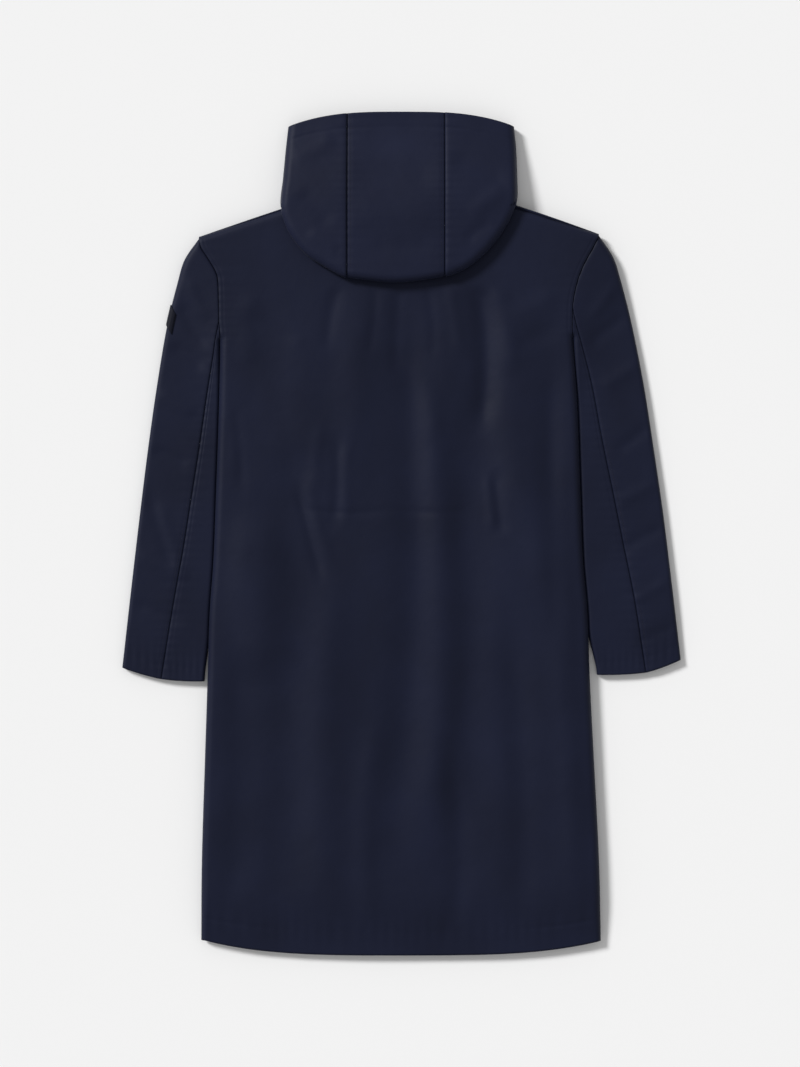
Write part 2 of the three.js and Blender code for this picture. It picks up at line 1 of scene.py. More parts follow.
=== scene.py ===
# A navy hooded parka laid flat on its front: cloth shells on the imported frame, with folds,
# seams and stitches.
import bpy
import math
import numpy as np
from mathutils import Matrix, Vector


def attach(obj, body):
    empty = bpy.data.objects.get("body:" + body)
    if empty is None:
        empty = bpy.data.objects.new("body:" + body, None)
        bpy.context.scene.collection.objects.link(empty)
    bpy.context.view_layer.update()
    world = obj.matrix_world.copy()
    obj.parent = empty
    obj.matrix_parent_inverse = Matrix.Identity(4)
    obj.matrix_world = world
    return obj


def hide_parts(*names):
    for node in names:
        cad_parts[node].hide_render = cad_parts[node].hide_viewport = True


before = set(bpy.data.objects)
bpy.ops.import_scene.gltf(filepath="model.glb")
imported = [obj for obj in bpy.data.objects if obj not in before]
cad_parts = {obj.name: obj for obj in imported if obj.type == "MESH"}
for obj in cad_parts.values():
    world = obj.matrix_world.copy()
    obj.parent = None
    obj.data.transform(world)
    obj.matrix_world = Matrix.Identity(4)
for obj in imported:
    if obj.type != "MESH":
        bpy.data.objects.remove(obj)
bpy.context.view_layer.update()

# Sizes in metres, the same as the part's own.
MM = 0.001
WALL = 1.6 * MM
SEAM_GAP = 0.3 * MM
BODY_HEIGHT = 18 * MM
HEM_HEIGHT = 11 * MM
SLEEVE_HEIGHT = 12 * MM
CUFF_HEIGHT = 10 * MM
HEM_Y = -565 * MM
HEM_BOW = 21 * MM
FRONT_HEM_RISE = 6 * MM
NECK_HALF = 105 * MM
NECK_Y = 470 * MM
NECK_DIP_BACK = 8 * MM
NECK_DIP_FRONT = 42 * MM
SLEEVE_CLEARANCE = 0.8 * MM
CUFF_BOW = 5 * MM
PLACKET_HALF, PLACKET_TOP, PLACKET_BOTTOM, PLACKET_EASE = 26 * MM, 420 * MM, -556 * MM, 22 * MM
HOOD_TOP, HOOD_BOW, HOOD_CORNER = 586 * MM, 20 * MM, 156 * MM
HOOD_CROWN, HOOD_EDGE, HOOD_SIDE_DROP, HOOD_ROLL = 38 * MM, 20 * MM, 4 * MM, 10 * MM
HOOD_SEAMS = {"left": -76 * MM, "right": 60.5 * MM}
HOOD_REST = BODY_HEIGHT + 0.4 * MM
FACE_STRIP = 28 * MM
ARMPIT_PART = 0.1374
STITCH_LENGTH, STITCH_PITCH, STITCH_RADIUS = 2.6 * MM, 3.6 * MM, 0.28 * MM
TOPSTITCH = 5.5 * MM
HEM_STITCH = 33 * MM
CUFF_STITCH = 21 * MM
TOUCH = 0.01 * MM
ROLL_COUNT = 9
SLEEVE_RUN = 600 * MM
ARMHOLE_BLEND = 0.16
UNDER_HOOD_START, UNDER_HOOD_END = 330 * MM, 352 * MM
CROWN_START = 450 * MM
HOOD_SHOULDER_RISE = 16.5 * MM
FLOOR_HALF, FLOOR_Z = 6, -0.0005
FLOOR_WHITE, WORLD_STRENGTH = 0.93, 0.44
SUN_DIRECTION, SUN_ANGLE, SUN_STRENGTH = (-1.15, 0.85, 1.0), 14, 2.85
CAMERA_PLACE, CAMERA_LENS, CAMERA_SENSOR = (-0.0021, 0.0007, 3.515), 85, 36


def table(columns, *rows):
    """Named columns from rows written in millimetres; a column named along stays a plain part."""
    names = columns.split()
    return {name: np.array([row[i] for row in rows]) * (1 if name == "along" else MM)
            for i, name in enumerate(names)}


SIDES = {
    "left": dict(
        sign=-1, shoulder_y=412 * MM, seam_y=295 * MM, cuff=(-186 * MM, -197 * MM, -205 * MM), notch=5 * MM,
        edge=table("y x", (412, 281), (399, 278.5), (388, 271.7), (370, 260.6), (357, 255.3), (325, 253.7),
                   (295, 253.2), (270, 251.2), (180, 252.5), (60, 256.5), (-36, 260.2), (-110, 265.5),
                   (-200, 268.3), (-314, 272), (-450, 276.2), (-565, 277.3)),
        sleeve=table("along outer seam", (0, 281, 253.5), (0.05, 301.5, 258.5), (0.1, 311, 262),
                     (0.2, 326, 270), (0.35, 341.2, 280.6), (0.5, 353.8, 292.3), (0.65, 364.9, 304.1),
                     (0.8, 375.4, 317.6), (1, 389, 334.3)),
        hood_side=table("y x", (566, 156), (534, 159.5), (492, 163.3), (464, 166.5), (443, 164.7)),
        hood_low=table("x y", (164.7, 443), (156.4, 421), (134, 390.6), (106, 371), (78, 356.5), (50, 351.5),
                       (10, 348), (-32, 351.5), (-62, 357.4)),
    ),
    "right": dict(
        sign=1, shoulder_y=416 * MM, seam_y=314 * MM, cuff=(-175 * MM, -188 * MM, -196 * MM), notch=11 * MM,
        edge=table("y x", (416, 274), (404, 268.5), (392, 262), (374, 252.3), (352, 243.9), (325, 238),
                   (297, 236.8), (273, 237.2), (180, 243), (60, 247.4), (-36, 251), (-110, 257.2),
                   (-200, 260.4), (-314, 266.2), (-450, 273.1), (-565, 275.9)),
        sleeve=table("along outer seam", (0, 274, 239.8), (0.05, 294, 245.6), (0.1, 304, 252.3),
                     (0.2, 319.3, 264.1), (0.35, 337.1, 277.7), (0.5, 351, 293.2), (0.65, 364, 308.6),
                     (0.8, 375, 323.9), (1, 389, 340.4)),
        hood_side=table("y x", (566, 155), (534, 158), (492, 159.4), (471, 159.8), (457, 157.8)),
        hood_low=table("x y", (157.8, 457), (146.6, 432), (130, 407), (113, 388), (88, 368.4), (60.5, 357.2),
                       (32, 351.7), (-10, 348), (-50, 351.5), (-80, 357.2)),
    ),
}

# Creases listed one by one: a line from (x0, y0) to (x1, y1), its half width and its height, in millimetres.
BACK_CREASES = table(
    "x0 y0 x1 y1 width height",
    (8, 330, -14, -440, 26, -4.6), (106, 350, 112, 150, 15, -5.2), (112, 260, 100, -500, 40, -5.4),
    (34, 180, 42, -420, 24, 5.2), (190, 60, 250, -520, 34, 5.4), (-200, 20, -196, -190, 46, 5.0),
    (-232, -120, -238, -520, 30, -3.2), (-150, 150, -168, -560, 30, -3.0), (-92, -60, -104, -520, 26, 3.6),
    (-60, 330, -66, 60, 26, 2.6), (-140, 300, -150, 110, 34, 2.2), (160, 300, 168, 20, 30, 3.0),
    (214, 230, 222, -160, 18, -3.4), (152, -120, 166, -540, 20, -3.0), (64, -300, 72, -560, 16, -2.2),
    (-34, -260, -44, -560, 16, 2.0), (-143, 62, -112, -62, 8, -1.9), (-130, 78, -98, -40, 10, 1.5),
    (-90, 132, -94, 14, 9, -1.9), (-76, 124, -76, 22, 9, 1.2), (-112, 150, -118, 60, 10, 1.3),
    (119, 78, 127, 8, 7, 1.5), (132, 86, 141, 0, 10, -2.0), (-131, 34, -20, 33, 5, -0.9),
    (-20, 33, 91, 31, 5, -0.7), (-86, 350, -104, 258, 9, -1.5), (-38, 350, -46, 250, 8, -1.2),
    (-4, 346, -8, 226, 9, -1.4), (34, 350, 44, 248, 8, -1.1), (66, 352, 82, 252, 9, 1.3),
    (130, 352, 152, 226, 13, 1.8), (-155, 415, -196, 372, 12, -1.2), (-246, 190, -236, 88, 9, 1.4),
    (-234, 176, -222, 60, 8, -1.3), (150, 300, 214, 330, 16, 1.2), (160, 262, 226, 288, 14, -1.4),
    (-150, 268, -226, 300, 14, -1.2), (18, 240, 46, 132, 14, 1.6), (-210, 330, -216, 240, 16, 1.4),
)
FRONT_CREASES = table(
    "x0 y0 x1 y1 width height",
    (-150, 300, -170, -200, 26, 1.0), (-80, 120, -96, -420, 20, 0.9), (160, 260, 176, -260, 24, 1.0),
    (90, 40, 104, -460, 18, 0.9),
)
SLEEVE_CREASES = table(
    "x0 y0 x1 y1 width height",
    (-318, 262, -276, 232, 10, -1.5), (-336, 196, -290, 168, 9, 1.2), (-344, 118, -298, 96, 8, -1.3),
    (-352, 60, -318, -44, 10, -1.6), (-336, 40, -306, -60, 9, 1.2), (-366, -28, -300, -58, 9, 1.0),
    (-372, -96, -306, -122, 8, -1.1), (-296, 352, -270, 300, 9, 1.3), (-306, 318, -272, 262, 9, -1.4),
    (296, 348, 262, 300, 9, 1.3), (310, 302, 262, 262, 10, -1.5), (330, 236, 280, 204, 10, 1.3),
    (342, 150, 300, 118, 9, -1.3), (352, 70, 300, 44, 9, 1.2), (362, 8, 306, -24, 9, -1.4),
    (372, -66, 318, -96, 8, 1.1), (380, -128, 330, -150, 8, -1.0),
)
HOOD_CREASES = table(
    "x0 y0 x1 y1 width height",
    (-150, 520, -96, 548, 12, 1.3), (-60, 500, 44, 494, 20, -1.4), (-140, 470, -98, 430, 13, -1.5),
    (-66, 440, 52, 436, 18, 1.4), (72, 520, 142, 486, 14, -1.5), (96, 440, 140, 476, 12, 1.6),
    (-40, 402, 40, 398, 14, -1.0), (88, 404, 122, 430, 9, -1.4), (-128, 414, -90, 392, 9, 1.1),
)


def clamp01(value):
    return np.clip(value, 0, 1)


def ease(start, end, value):
    part = clamp01((value - start) / (end - start))
    return part * part * (3 - 2 * part)


def mix(start, end, part):
    return start + (end - start) * part


def curve(rows, source, target):
    """A smooth curve through a table's rows, with slopes from their neighbours."""
    x, y = rows[source], rows[target]
    if x[-1] < x[0]:
        x, y = x[::-1], y[::-1]
    last = len(x) - 1
    before, after = np.maximum(np.arange(last + 1) - 1, 0), np.minimum(np.arange(last + 1) + 1, last)
    slope = (y[after] - y[before]) / (x[after] - x[before])

    def at(value):
        value = np.asarray(value, float)
        low = np.clip(np.searchsorted(x, value) - 1, 0, last - 1)
        span = x[low + 1] - x[low]
        t = (value - x[low]) / span
        inside = clamp01(t)
        cubic, square = inside**3, inside**2
        body = ((2 * cubic - 3 * square + 1) * y[low] + (cubic - 2 * square + inside) * span * slope[low]
                + (3 * square - 2 * cubic) * y[low + 1] + (cubic - square) * span * slope[low + 1])
        return body + np.minimum(t, 0) * span * slope[low] + np.maximum(t - 1, 0) * span * slope[low + 1]

    return at


for side in SIDES.values():
    side["edge_at"] = curve(side["edge"], "y", "x")
    side["outer_at"] = curve(side["sleeve"], "along", "outer")
    side["seam_at"] = curve(side["sleeve"], "along", "seam")
    side["hood_side_at"] = curve(side["hood_side"], "y", "x")
    side["hood_low_at"] = curve(side["hood_low"], "x", "y")
    side["shoulder_x"] = side["edge"]["x"][0]
    side["armpit_y"] = mix(side["shoulder_y"] - BODY_HEIGHT / 2, HEM_Y, ARMPIT_PART)


def hem_y(x):
    return HEM_Y - HEM_BOW * (1 - np.minimum(1, np.abs(x) / (277 * MM)) ** 3.4)


def body_height(y):
    return mix(HEM_HEIGHT, BODY_HEIGHT, ease(HEM_Y - HEM_BOW, HEM_Y + 70 * MM, y))


def shoulder_line(side, distance):
    part = clamp01((distance - NECK_HALF) / (side["shoulder_x"] - NECK_HALF))
    return mix(NECK_Y, side["shoulder_y"], part)


def outer_line(side, along):
    return side["sign"] * side["outer_at"](along), mix(side["shoulder_y"], side["cuff"][0], along)


def seam_line(side, along):
    return side["sign"] * side["seam_at"](along), mix(side["seam_y"], side["cuff"][1], along)


def inner_line(side, along):
    y = mix(side["armpit_y"], side["cuff"][2], along)
    reach = side["edge_at"](y) + SLEEVE_CLEARANCE + side["notch"] * ease(0.86, 1, along)
    return side["sign"] * reach, y


def sleeve_height(along):
    rise = (BODY_HEIGHT - SLEEVE_HEIGHT) * (1 - ease(0, 0.22, along))
    return SLEEVE_HEIGHT + rise - (SLEEVE_HEIGHT - CUFF_HEIGHT) * ease(0.85, 1, along)


def fold_run(x, y):
    """Segments of a rolled edge: start, direction and length."""
    start = np.stack([x[:-1], y[:-1]], 1)
    step = np.stack([np.diff(x), np.diff(y)], 1)
    length = np.linalg.norm(step, axis=1)
    along = step / length[:, None]
    return start, along, length


def join_runs(runs):
    return [np.concatenate(parts) for parts in zip(*runs)]


def coat_folds():
    runs = []
    part = np.linspace(0, 1, 80)
    for side in SIDES.values():
        distance = mix(NECK_HALF, side["shoulder_x"], np.linspace(0, 1, 8))
        runs.append(fold_run(side["sign"] * distance, shoulder_line(side, distance)))
        y = mix(side["armpit_y"], HEM_Y - HEM_BOW, part)
        runs.append(fold_run(side["sign"] * side["edge_at"](y), y))
        runs.append(fold_run(*outer_line(side, part)))
        runs.append(fold_run(*inner_line(side, part)))
    return join_runs(runs)


def hood_folds():
    runs = []
    part = np.linspace(0, 1, 40)
    for side in SIDES.values():
        y = mix(side["hood_side"]["y"][0], side["hood_low"]["y"][0], part)
        runs.append(fold_run(side["sign"] * side["hood_side_at"](y), y))
        x = mix(side["hood_low"]["x"][0], 0, part)
        runs.append(fold_run(side["sign"] * x, side["hood_low_at"](x)))
    return join_runs(runs)


COAT_FOLDS, HOOD_FOLDS = coat_folds(), hood_folds()


def fold_distance(folds, x, y):
    best = np.full(np.shape(x), 9.0)
    for start, along, length in zip(*folds):
        dx, dy = x - start[0], y - start[1]
        run = np.clip(dx * along[0] + dy * along[1], 0, length)
        best = np.minimum(best, np.hypot(dx - along[0] * run, dy - along[1] * run))
    return best


def rolled(x, y, folds, on_fold, above, low, high, width, lift):
    """Outer face of a layered form whose two layers meet in a roll at its folds."""
    distance = np.where(on_fold, 0, fold_distance(folds, x, y))
    part = np.minimum(1, distance / width)
    swing = np.sqrt(1 - (1 - part) ** 2)
    sign = 1 if above else -1
    z = (low + high) / 2 + sign * (high - low) / 2 * swing + lift * part
    return np.stack(np.broadcast_arrays(x, y, z), -1)


def creases(rows, x, y):
    lift = np.zeros(np.shape(x))
    names = ("x0", "y0", "x1", "y1", "width", "height")
    for x0, y0, x1, y1, width, height in zip(*(rows[name] for name in names)):
        dx, dy = x1 - x0, y1 - y0
        length = math.hypot(dx, dy)
        along = ((x - x0) * dx + (y - y0) * dy) / length**2
        bend = 0.12 * length * np.sin(math.pi * clamp01(along)) * math.sin(37 * (x0 + y0) / MM)
        across = ((x - x0) * dy - (y - y0) * dx) / length + bend * 0.35
        taper = ease(-0.12, 0.2, along) * (1 - ease(0.8, 1.12, along))
        lift = lift + height * taper * np.exp(-((across / width) ** 2))
    return lift


def ripple(x, y, seed):
    """Slow unevenness of pressed cloth, about half a millimetre."""
    sway = 1.4 * np.sin(y * 9 + seed)
    broad = np.sin(x * 34 + sway + seed) * np.sin(y * 11 + 2 * seed)
    small = 0.3 * np.sin(x * 95 + 2.2 * sway) * np.sin(y * 43 + 1.3 * np.sin(x * 40) + seed)
    return (broad + small) * 0.5 * MM


def pinch(distance, reach=2.4 * MM, depth=1.1 * MM):
    """A seam draws the cloth down beside it."""
    return -depth * np.exp(-((distance / reach) ** 2))


def topstitch_dent(distance, at=TOPSTITCH, depth=0.45 * MM):
    return -depth * np.exp(-(((distance - at) / (1.1 * MM)) ** 2))


def pucker(run, distance, pitch=13 * MM, depth=0.28 * MM):
    wobble = np.sin(2 * math.pi * run / pitch + 2.1 * np.sin(run * 41))
    return depth * wobble * np.exp(-(distance / (16 * MM)))


def grid_mesh(name, patches, wall=WALL):
    """One closed cloth wall from patches of outer-face points, merged where they meet."""
    vertices, faces, offset = [], [], 0
    for points, flip in patches:
        rows, columns = points.shape[:2]
        vertices.append(points.reshape(-1, 3))
        index = np.arange(rows * columns).reshape(rows, columns) + offset
        quads = np.stack([index[:-1, :-1], index[:-1, 1:], index[1:, 1:], index[1:, :-1]], -1).reshape(-1, 4)
        faces.append(quads[:, ::-1] if flip else quads)
        offset += rows * columns
    mesh = bpy.data.meshes.new(name)
    mesh.from_pydata(np.concatenate(vertices).tolist(), [], np.concatenate(faces).tolist())
    piece = bpy.data.objects.new(name, mesh)
    bpy.context.scene.collection.objects.link(piece)
    mesh.shade_smooth()
    weld = piece.modifiers.new("weld", "WELD")
    weld.merge_threshold = 0.02 * MM
    solid = piece.modifiers.new("wall", "SOLIDIFY")
    solid.thickness = wall
    solid.offset = -1
    solid.use_even_offset = False
    for modifier in (weld, solid):
        with bpy.context.temp_override(object=piece, active_object=piece, selected_objects=[piece]):
            bpy.ops.object.modifier_apply(modifier=modifier.name)
    return piece


def roll_stops():
    return 1 - np.cos(np.linspace(0, math.pi / 2, ROLL_COUNT))


# Body
def body_grid(side, rolls, parts, row_rolls, row_parts, dip, rise):
    radius = BODY_HEIGHT / 2
    top = parts * (side["shoulder_x"] - rolls)
    neck = dip * (1 - (np.minimum(top, NECK_HALF) / NECK_HALF) ** 2)
    start = (shoulder_line(side, top) - neck)[None, :] - row_rolls[:, None] * radius
    y = mix(start, hem_y(top)[None, :] + rise, row_parts[:, None])
    armhole = np.where(y > side["armpit_y"] + TOUCH, SEAM_GAP / 2, 0)
    x = side["sign"] * parts * (side["edge_at"](y) - armhole - rolls)
    on_shoulder = (row_rolls[:, None] + row_parts[:, None] == 0) & (top[None, :] >= NECK_HALF)
    on_side = (rolls[None, :] == 0) & (parts[None, :] == 1) & (y <= side["armpit_y"] + TOUCH)
    return x, y, on_shoulder | on_side


def back_lift(x, y):
    side_gap = np.where(x < 0, SIDES["left"]["edge_at"](y), SIDES["right"]["edge_at"](y)) - np.abs(x)
    shown = 1 - ease(UNDER_HOOD_START, UNDER_HOOD_END, y)
    lift = creases(BACK_CREASES, x, y) * ease(0, 45 * MM, side_gap) * shown
    lift += ripple(x, y, 1.3) * shown
    armhole = np.where(y > 262 * MM, side_gap, 1)
    lift += pinch(armhole) + topstitch_dent(armhole) + pucker(y, armhole)
    from_hem = y - hem_y(x)
    lift += topstitch_dent(from_hem, HEM_STITCH, 0.9 * MM) + pucker(x, np.abs(from_hem - HEM_STITCH), 17 * MM)
    return lift


def front_lift(x, y):
    channel = 1.9 * MM * (1 - ease(PLACKET_HALF + 4 * MM, PLACKET_HALF + PLACKET_EASE, np.abs(x)))
    return channel + np.maximum(creases(FRONT_CREASES, x, y), 0)


def body_stops(spacing_columns, spacing_rows):
    rolls = np.concatenate([roll_stops() * BODY_HEIGHT / 2, np.full(spacing_columns, BODY_HEIGHT / 2)])
    parts = np.concatenate([np.ones(ROLL_COUNT), np.linspace(1, 0, spacing_columns + 1)[1:]])
    row_rolls = np.concatenate([roll_stops(), np.ones(spacing_rows)])
    row_parts = np.concatenate([np.zeros(ROLL_COUNT), np.linspace(0, 1, spacing_rows + 1)[1:]])
    return rolls, parts, row_rolls, row_parts


def make_back():
    patches = []
    for name, side in SIDES.items():
        x, y, on_fold = body_grid(side, *body_stops(78, 300), NECK_DIP_BACK, 0)
        high = body_height(y)
        points = rolled(x, y, COAT_FOLDS, on_fold, True, 0, high, high / 2, back_lift(x, y))
        patches.append((points, name == "left"))
    return grid_mesh("back_cloth", flip_all(patches))


def flip_all(patches):
    """The same patches with their faces turned over."""
    return [(points, not flip) for points, flip in patches]


def make_front(name):
    side = SIDES[name]
    x, y, on_fold = body_grid(side, *body_stops(36, 110), NECK_DIP_FRONT, FRONT_HEM_RISE)
    x = np.where(x == 0, side["sign"] * SEAM_GAP / 2, x)
    high = body_height(y)
    points = rolled(x, y, COAT_FOLDS, on_fold, False, 0, high, high / 2, front_lift(x, y))
    return grid_mesh(f"front_{name}_cloth", [(points, name == "left")])


def make_placket():
    x, y = np.meshgrid(np.linspace(-PLACKET_HALF, PLACKET_HALF, 12),
                       np.linspace(PLACKET_TOP, PLACKET_BOTTOM, 160))
    edge = PLACKET_HALF - np.abs(x)
    z = 0.25 * MM * np.exp(-(((edge - TOPSTITCH) / (1.2 * MM)) ** 2))
    return grid_mesh("placket_cloth", [(np.stack([x, y, z], -1), True)], WALL)


# Sleeves
def sleeve_plan(side, piece, along, armhole_part, cuff_part):
    upper = piece == "upper"
    start = outer_line if upper else inner_line
    part = mix(armhole_part, cuff_part, ease(0, ARMHOLE_BLEND, along))
    (from_x, from_y), (to_x, to_y) = start(side, along), seam_line(side, along)
    x, y = mix(from_x, to_x, part), mix(from_y, to_y, part)
    (top_x, top_y), (seam_x, seam_y) = start(side, 0.0), seam_line(side, 0.0)
    armhole_y = mix(top_y, seam_y, part)
    gap = np.where(part < 0, 0, SEAM_GAP / 2) if upper else mix(SLEEVE_CLEARANCE, SEAM_GAP / 2, part)
    offset = side["sign"] * (side["edge_at"](armhole_y) + gap) - mix(top_x, seam_x, part)
    x = x + offset * (1 - ease(0, 0.3, along))
    across = part * 0.5 if upper else 1 - part * 0.5
    y = y - CUFF_BOW * 4 * across * (1 - across) * along**6
    return x + np.where(part == 1, SEAM_GAP / 2 * side["sign"] * (1 if upper else -1), 0), y


def sleeve_lift(side, x, y, along, seam_distance):
    lift = creases(SLEEVE_CREASES, x, y) + 0.7 * ripple(x, y, 2.7)
    lift += pinch(seam_distance) + topstitch_dent(seam_distance) + pucker(y, seam_distance)
    from_cuff = (1 - along) * SLEEVE_RUN
    lift += (topstitch_dent(from_cuff, CUFF_STITCH, 0.8 * MM)
             + pucker(x, np.abs(from_cuff - CUFF_STITCH), 11 * MM))
    return lift + pinch(along * SLEEVE_RUN)


def make_sleeve_piece(name, piece):
    side = SIDES[name]
    upper = piece == "upper"
    along = np.linspace(0, 1, 190)[:, None]
    start = outer_line if upper else inner_line
    edge, seam = start(side, along), seam_line(side, along)
    width = np.hypot(edge[0] - seam[0], edge[1] - seam[1])
    high = sleeve_height(along)
    length = abs((side["shoulder_y"] if upper else side["armpit_y"]) - side["seam_y"])
    plateau = 26
    armhole = np.concatenate([roll_stops() * min(BODY_HEIGHT / 2 / length, 0.4), np.zeros(plateau)])
    armhole[ROLL_COUNT:] = np.linspace(armhole[ROLL_COUNT - 1], 1, plateau + 1)[1:]
    roll = high / 2 / width
    steady = np.linspace(0, 1, plateau + 1)[1:][None, :]
    cuff = np.concatenate([roll_stops()[None, :] * roll, roll + (1 - roll) * steady], 1)
    x, y = sleeve_plan(side, piece, along, armhole[None, :], cuff)
    on_fold = np.broadcast_to(armhole[None, :] == 0, x.shape)
    part = mix(armhole[None, :], cuff, ease(0, ARMHOLE_BLEND, along))
    seam_distance = (1 - part) * width
    patches = []
    flip = (name == "left") == upper
    for above in (True, False):
        lift = sleeve_lift(side, x, y, along, seam_distance) if above else 0
        points = rolled(x, y, COAT_FOLDS, on_fold, above, 0, high, high / 2, lift)
        patches.append((points, above != flip))
    return grid_mesh(f"sleeve_{name}_{piece}_cloth", flip_all(patches))


def make_patch():
    side = SIDES["left"]
    along = np.linspace(0.155, 0.202, 24)[:, None]
    reach = np.array([16, 13, 10, 8, 6, 4.2, 2.8, 1.8, 1.0, 0.45, 0.1, 0])[None, :] * MM
    edge, seam = outer_line(side, along), seam_line(side, along)
    part = reach / np.hypot(edge[0] - seam[0], edge[1] - seam[1])
    x, y = sleeve_plan(side, "upper", along, part, part)
    high = sleeve_height(along) * np.ones_like(x)
    points = rolled(x, y, COAT_FOLDS, reach + 0 * x == 0, True, 0, high, high / 2, 0)
    middle = np.stack([x + 9 * MM, y, high / 2], -1)
    away = points - middle
    away[..., 1] = 0
    away /= np.linalg.norm(away, axis=-1, keepdims=True)
    return grid_mesh("patch_cloth", flip_all([(points + away * 1.8 * MM, True)]), 1.5 * MM)


# Hood
def hood_top_y(x):
    return HOOD_TOP - HOOD_BOW * np.minimum(1, np.abs(x) / HOOD_CORNER) ** 3


def past_shoulder(x, y):
    line = np.where(x < 0, shoulder_line(SIDES["left"], np.abs(x)), shoulder_line(SIDES["right"], np.abs(x)))
    return y - line


def hood_lift(x, y):
    lift = creases(HOOD_CREASES, x, y) + ripple(x, y, 4.1)
    for seam, inward in ((HOOD_SEAMS["left"], 1), (HOOD_SEAMS["right"], -1)):
        distance = np.abs(x - seam)
        lift += pinch(distance) + pucker(y, distance, 12 * MM)
        lift += topstitch_dent((x - seam) * inward)
    return lift + topstitch_dent(hood_top_y(x) - y, CUFF_STITCH, 0.8 * MM)


def hood_surface(x, y, above, on_fold):
    low = HOOD_REST * (1 - ease(0.5 * MM, 16 * MM, past_shoulder(x, y)))
    crown = mix(HOOD_EDGE, HOOD_CROWN, 1 - ease(CROWN_START, HOOD_TOP, y))
    high = crown - HOOD_SIDE_DROP * (x / HOOD_CORNER) ** 2
    return rolled(x, y, HOOD_FOLDS, on_fold, above, low, high, HOOD_ROLL, hood_lift(x, y) if above else 0)


def neck_row(side, x):
    dip = NECK_Y - NECK_DIP_BACK * (1 - np.minimum(1, np.abs(x) / NECK_HALF) ** 2)
    return np.where(np.abs(x) < NECK_HALF, dip, shoulder_line(side, np.abs(x))) + 0.5 * MM


UPPER_COUNT, SHOULDER_COUNT, LOWER_COUNT = 44, 8, 30


def hood_upper_rows(top, neck):
    rise = HOOD_SHOULDER_RISE
    upper = mix(neck + rise, top, np.linspace(1, 0, UPPER_COUNT)[:, None])
    return np.concatenate([upper, neck + np.linspace(rise, 0, SHOULDER_COUNT + 1)[1:, None]])


def hood_rows(top, neck, low):
    start = low + HOOD_ROLL
    middle = mix(neck, start, np.linspace(0, 1, LOWER_COUNT + 1)[1:, None])
    edge = low + roll_stops()[:-1][::-1][:, None] * HOOD_ROLL
    return np.concatenate([hood_upper_rows(top, neck), middle, edge])


NECK_ROW = UPPER_COUNT + SHOULDER_COUNT - 1


def make_hood_centre():
    x = np.linspace(HOOD_SEAMS["left"] + SEAM_GAP / 2, HOOD_SEAMS["right"] - SEAM_GAP / 2, 56)
    low = np.where(x < 0, SIDES["left"]["hood_low_at"](np.abs(x)), SIDES["right"]["hood_low_at"](np.abs(x)))
    y = hood_rows(hood_top_y(x)[None, :], neck_row(SIDES["left"], x)[None, :], low[None, :])
    x = np.broadcast_to(x[None, :], y.shape)
    on_fold = np.zeros(y.shape, bool)
    on_fold[-1] = True
    top = hood_surface(x, y, True, on_fold)
    below = hood_surface(x[NECK_ROW:], y[NECK_ROW:], False, on_fold[NECK_ROW:])
    return grid_mesh("hood_centre_cloth", flip_all([(top, False), (below, True)]))


def make_hood_side(name):
    side = SIDES[name]
    plateau = 30
    step = np.concatenate([roll_stops(), np.ones(plateau)])
    part = np.concatenate([np.zeros(ROLL_COUNT), np.linspace(0, 1, plateau + 1)[1:]])
    seam = abs(HOOD_SEAMS[name]) + SEAM_GAP / 2
    corner_y = side["hood_side"]["y"][0]
    low_x, low_y = side["hood_low"]["x"][0], side["hood_low"]["y"][0]

    def distance(outline):
        return mix(outline - step * HOOD_ROLL, seam, part)

    top_x, foot_x = distance(side["hood_side"]["x"][0]), distance(low_x)
    neck_x = distance(side["hood_side_at"](shoulder_line(side, low_x)))
    neck_y = neck_row(side, neck_x)
    foot_y = np.where(step == 0, low_y, side["hood_low_at"](foot_x))
    top_y = np.where(step == 0, corner_y, hood_top_y(top_x))
    y = hood_rows(top_y[None, :], neck_y[None, :], foot_y[None, :])
    x = np.where(y > neck_y, mix(neck_x, top_x, (y - neck_y) / (top_y - neck_y)),
                 mix(foot_x, neck_x, (y - foot_y) / (neck_y - foot_y)))
    x = side["sign"] * np.where(step[None, :] == 0, side["hood_side_at"](y), x)
    on_fold = np.broadcast_to(step[None, :] == 0, y.shape).copy()
    on_fold[-1] = True
    top = hood_surface(x, y, True, on_fold)
    below = hood_surface(x[NECK_ROW:], y[NECK_ROW:], False, on_fold[NECK_ROW:])
    strip = ROLL_COUNT + plateau * 3 // 5
    inset = step[:strip] * HOOD_ROLL + (FACE_STRIP - HOOD_ROLL) * part[:strip] / part[strip - 1]
    edge_x = side["hood_side"]["x"][0] - inset
    start_x, start_y = np.abs(x[NECK_ROW, :strip]), y[NECK_ROW, :strip]
    strip_y = hood_upper_rows(hood_top_y(edge_x)[None, :], start_y[None, :])
    strip_x = mix(start_x, edge_x, (strip_y - start_y) / (hood_top_y(edge_x) - start_y))
    strip_y[:, 0], strip_x[:, 0] = y[: NECK_ROW + 1, 0], np.abs(x[: NECK_ROW + 1, 0])
    strip_fold = on_fold[: NECK_ROW + 1, :strip] & (step[:strip] == 0)
    face = hood_surface(side["sign"] * strip_x, strip_y, False, strip_fold)
    flip = name == "left"
    return grid_mesh(f"hood_side_{name}_cloth", flip_all([(top, flip), (below, not flip), (face, not flip)]))


